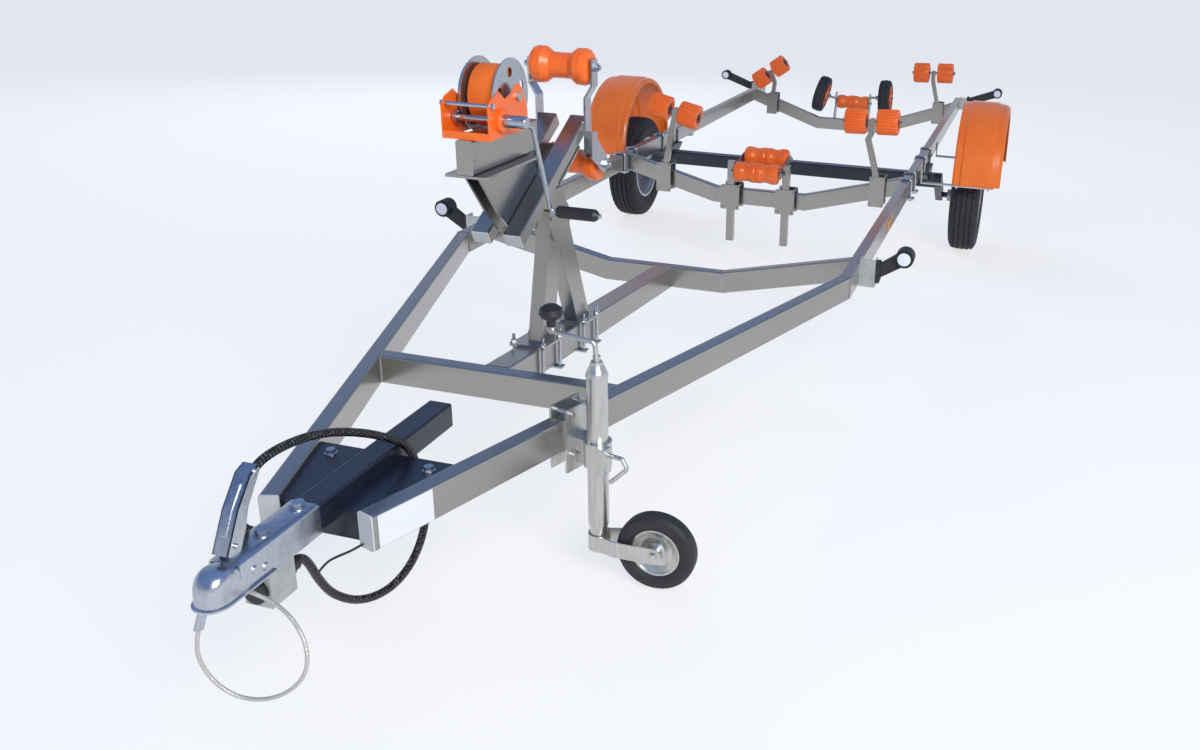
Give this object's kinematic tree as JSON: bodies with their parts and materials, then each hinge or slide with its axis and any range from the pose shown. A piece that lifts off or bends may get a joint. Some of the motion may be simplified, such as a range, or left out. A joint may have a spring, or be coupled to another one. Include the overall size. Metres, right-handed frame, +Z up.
{
  "type": "boat trailer",
  "caption": "single-axle boat trailer with a galvanised V-nosed frame, orange winch, rollers and mudguards, parked nose-down on its jockey wheel",
  "frame": {"origin": "centre of the footprint box on the ground under the road wheels", "axes": "+X is the trailer's right as its front is looked at, +Y runs from the coupling to the tail, +Z is up; the chassis is pitched 1.82 degrees nose-down"},
  "size_m": [2.293, 6.6515, 1.2236],
  "materials": {
    "frame_steel": "brushed",
    "black_steel": "satin",
    "grey_plastic": "matte",
    "zinc": "satin",
    "orange_plastic": "gloss",
    "orange_paint": "gloss",
    "black_rubber": "matte",
    "black_plastic": "matte",
    "rope_steel": "gloss",
    "tyre_black": "matte",
    "silver_rim": "satin",
    "strap_orange": "matte"
  },
  "bodies": {
    "chassis": {"rail_left": "frame_steel", "rail_right": "frame_steel", "front_arm_left": "frame_steel", "front_arm_right": "frame_steel", "cross_front": "frame_steel", "cross_tubes": "frame_steel", "centre_beam": "frame_steel", "drawbar": "black_steel", "end_caps": "grey_plastic", "coupling": "zinc", "coupling_lever": "zinc", "plug_holder": "zinc", "axle_beam": "black_steel", "swing_arms": "zinc", "fender_left": "orange_plastic", "fender_right": "orange_plastic", "fender_stays": "frame_steel", "winch_post": "frame_steel", "winch_bracket": "zinc", "winch_frame": "orange_paint", "winch_pins": "zinc", "bow_roller_arms": "zinc", "keel_cradle": "frame_steel", "wobble_posts_front": "frame_steel", "wobble_posts_rear": "frame_steel", "rear_keel_bracket": "frame_steel", "rail_ubolts": "zinc", "lamp_brackets": "zinc", "marker_lamps": "black_rubber", "jack_bracket": "zinc", "jack_tube": "zinc", "jack_knob": "black_plastic", "plug": "black_plastic", "light_cable": "black_plastic", "safety_rope": "rope_steel", "rope_ferrule": "zinc", "thin_lead": "black_plastic"},
    "wheel_left": {"tyre_left": "tyre_black", "rim_left": "silver_rim"},
    "wheel_right": {"tyre_right": "tyre_black", "rim_right": "silver_rim"},
    "winch_drum": {"winch_drum": "zinc", "winch_strap": "strap_orange"},
    "winch_crank": {"winch_crank": "zinc", "winch_grip": "black_plastic"},
    "bow_roller_upper": {"bow_roller_upper": "orange_plastic"},
    "bow_roller_lower": {"bow_roller_lower": "orange_plastic"},
    "keel_roller_front": {"keel_roller_front": "orange_plastic"},
    "keel_roller_middle": {"keel_roller_middle": "orange_plastic"},
    "keel_roller_rear": {"keel_roller_rear": "orange_plastic"},
    "wobble_rollers_front_left": {"wobble_rollers_front_left": "orange_plastic"},
    "wobble_rollers_front_right": {"wobble_rollers_front_right": "orange_plastic"},
    "wobble_rollers_rear_left": {"wobble_rollers_rear_left": "orange_plastic"},
    "wobble_rollers_rear_right": {"wobble_rollers_rear_right": "orange_plastic"},
    "guide_wheel_left": {"guide_wheel_left": "black_rubber"},
    "guide_wheel_right": {"guide_wheel_right": "black_rubber"},
    "jack_leg": {"jack_leg": "zinc"},
    "jack_fork": {"jack_fork": "zinc"},
    "jack_wheel": {"jack_tyre": "black_rubber", "jack_rim": "zinc"}
  },
  "joints": [
    {"name": "wheel_left_spin", "type": "hinge", "parent": "chassis", "child": "wheel_left", "pos_m": [-0.971, 1.3251, 0.289], "axis": [1, 0, 0], "continuous": true},
    {"name": "wheel_right_spin", "type": "hinge", "parent": "chassis", "child": "wheel_right", "pos_m": [0.971, 1.3251, 0.289], "axis": [1, 0, 0], "continuous": true},
    {"name": "winch_drum_turn", "type": "hinge", "parent": "chassis", "child": "winch_drum", "pos_m": [0, -2.21543, 1.13098], "axis": [1, 0, 0], "continuous": true},
    {"name": "winch_crank_turn", "type": "hinge", "parent": "chassis", "child": "winch_crank", "pos_m": [0, -2.30598, 1.08408], "axis": [1, 0, 0], "continuous": true},
    {"name": "bow_roller_upper_turn", "type": "hinge", "parent": "chassis", "child": "bow_roller_upper", "pos_m": [0, -1.81955, 1.17257], "axis": [1, 0, 0], "continuous": true},
    {"name": "bow_roller_lower_turn", "type": "hinge", "parent": "chassis", "child": "bow_roller_lower", "pos_m": [0, -1.7406, 0.89194], "axis": [1, 0, 0], "continuous": true},
    {"name": "keel_roller_front_turn", "type": "hinge", "parent": "chassis", "child": "keel_roller_front", "pos_m": [0, 0.41835, 0.4873], "axis": [1, 0, 0], "continuous": true},
    {"name": "keel_roller_middle_turn", "type": "hinge", "parent": "chassis", "child": "keel_roller_middle", "pos_m": [0, 0.61697, 0.53363], "axis": [1, 0, 0], "continuous": true},
    {"name": "keel_roller_rear_turn", "type": "hinge", "parent": "chassis", "child": "keel_roller_rear", "pos_m": [0, 3.13306, 0.53955], "axis": [1, 0, 0], "continuous": true},
    {"name": "wobble_front_right_turn", "type": "hinge", "parent": "chassis", "child": "wobble_rollers_front_right", "pos_m": [0.541, 0.45521, 0.77562], "axis": [0.9994, -0.0011, 0.0349], "continuous": true},
    {"name": "wobble_front_left_turn", "type": "hinge", "parent": "chassis", "child": "wobble_rollers_front_left", "pos_m": [-0.44, 0.45594, 0.75263], "axis": [0.9744, 0.0071, -0.2248], "continuous": true},
    {"name": "wobble_rear_right_turn", "type": "hinge", "parent": "chassis", "child": "wobble_rollers_rear_right", "pos_m": [0.566, 2.99486, 0.79529], "axis": [0.9994, -0.0011, 0.0349], "continuous": true},
    {"name": "wobble_rear_left_turn", "type": "hinge", "parent": "chassis", "child": "wobble_rollers_rear_left", "pos_m": [-0.589, 2.99709, 0.72532], "axis": [0.809, -0.0187, 0.5875], "continuous": true},
    {"name": "guide_wheel_left_spin", "type": "hinge", "parent": "chassis", "child": "guide_wheel_left", "pos_m": [-0.23, 3.11654, 0.58705], "axis": [-0.9703, -0.0077, 0.2418], "continuous": true},
    {"name": "guide_wheel_right_spin", "type": "hinge", "parent": "chassis", "child": "guide_wheel_right", "pos_m": [0.23, 3.11654, 0.58705], "axis": [0.9994, -0.0011, 0.0349], "continuous": true},
    {"name": "jack_wind", "type": "slide", "parent": "chassis", "child": "jack_leg", "axis": [0, -0.0318, 0.9995], "range_m": [-0.15, 0.024]},
    {"name": "jack_swivel", "type": "hinge", "parent": "jack_leg", "child": "jack_fork", "pos_m": [0.374, -2.45034, 0.18004], "axis": [0, -0.0318, 0.9995], "continuous": true},
    {"name": "jack_wheel_spin", "type": "hinge", "parent": "jack_fork", "child": "jack_wheel", "pos_m": [0.526, -2.4478, 0.1], "axis": [0, 0.9995, 0.0318], "continuous": true}
  ],
  "couplings": [
    {"joint": "winch_crank_turn", "follows": "winch_drum_turn", "ratio": -4.941}
  ]
}
